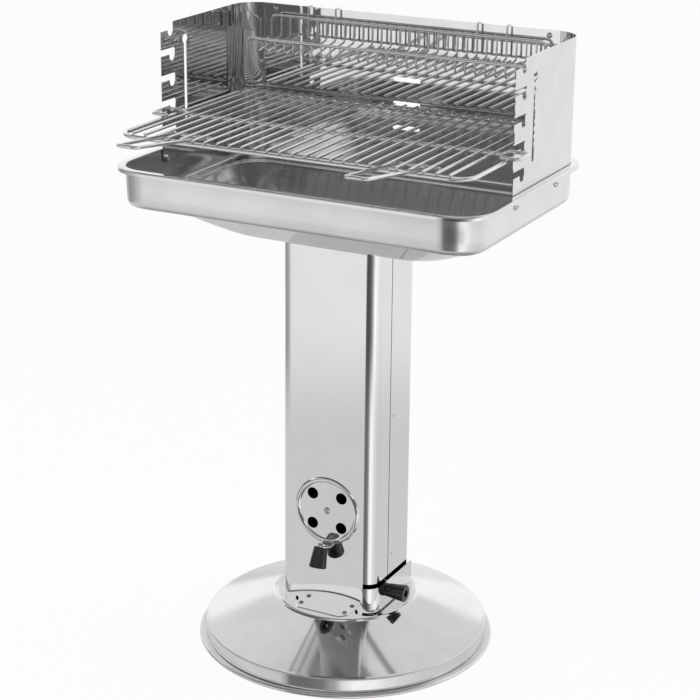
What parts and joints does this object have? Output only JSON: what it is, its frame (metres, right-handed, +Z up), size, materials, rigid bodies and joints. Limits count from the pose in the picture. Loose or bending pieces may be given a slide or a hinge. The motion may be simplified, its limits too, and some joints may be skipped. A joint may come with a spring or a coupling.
{
  "type": "pedestal charcoal barbecue",
  "caption": "Free-standing charcoal barbecue: rectangular fire bowl with windshield, cooking grid and warming rack, on a square column with air vent and ash drawer, on a round cone base.",
  "frame": {"origin": "on the floor, on the column's axis, at the centre of the ring that the base stands on", "axes": "+X to the right along the fire bowl's long side, seen from the cook's side; -Y towards the cook; +Z up"},
  "size_m": [0.543, 0.4795, 0.8228],
  "materials": {
    "stainless_sheet": "bright polished stainless sheet",
    "chromed_wire": "bright chromed steel wire",
    "black_plastic": "moulded black heat-proof plastic",
    "zinc_fasteners": "bright zinc-plated steel"
  },
  "bodies": {
    "pedestal": {"base_cone": "stainless_sheet", "column_front_shell": "stainless_sheet", "column_rear_shell": "stainless_sheet", "column_seam_screws": "zinc_fasteners", "foot_screws": "zinc_fasteners", "vent_pivot_screw": "zinc_fasteners", "vent_pivot_nut": "zinc_fasteners", "fire_bowl": "stainless_sheet", "bowl_screws": "zinc_fasteners", "bowl_nuts": "zinc_fasteners", "windshield_left": "stainless_sheet", "windshield_right": "stainless_sheet", "windshield_rear": "stainless_sheet", "windshield_bolts": "zinc_fasteners", "windshield_nuts": "zinc_fasteners", "windshield_joint_screws": "zinc_fasteners", "windshield_joint_nuts": "zinc_fasteners"},
    "air_vent": {"vent_disc": "stainless_sheet", "vent_knob": "black_plastic", "vent_knob_screw": "zinc_fasteners", "vent_knob_nut": "zinc_fasteners"},
    "ash_drawer": {"ash_drawer_tray": "stainless_sheet", "ash_drawer_face": "stainless_sheet", "ash_drawer_handle": "black_plastic", "ash_drawer_handle_screw": "zinc_fasteners", "ash_drawer_handle_nut": "zinc_fasteners"},
    "loose_grate": {"ash_grate": "stainless_sheet"},
    "cooking_grid": {"grid_frame": "chromed_wire", "grid_bars": "chromed_wire", "grid_cross_wire": "chromed_wire", "grid_handle_left": "chromed_wire", "grid_handle_right": "chromed_wire", "grid_handle_roots": "chromed_wire"},
    "warming_rack": {"rack_rear_bar": "chromed_wire", "rack_front_bar": "chromed_wire", "rack_wires": "chromed_wire", "rack_hook_wires": "chromed_wire"}
  },
  "joints": [
    {"name": "vent_turn", "type": "hinge", "parent": "pedestal", "child": "air_vent", "pos_m": [0, -0.0559, 0.198], "axis": [0, -1, 0], "range_deg": [-45, 45]},
    {"name": "drawer_slide", "type": "slide", "parent": "pedestal", "child": "ash_drawer", "axis": [1, 0, 0], "range_m": [0, 0.11]},
    {"name": "grate_lift", "type": "slide", "parent": "pedestal", "child": "loose_grate", "axis": [0, 0, 1], "range_m": [0, 0.04]},
    {"name": "grid_lift", "type": "slide", "parent": "pedestal", "child": "cooking_grid", "axis": [0, 0, 1], "range_m": [0, 0.011]},
    {"name": "rack_lift", "type": "slide", "parent": "pedestal", "child": "warming_rack", "axis": [0, 0, 1], "range_m": [0, 0.03]}
  ]
}
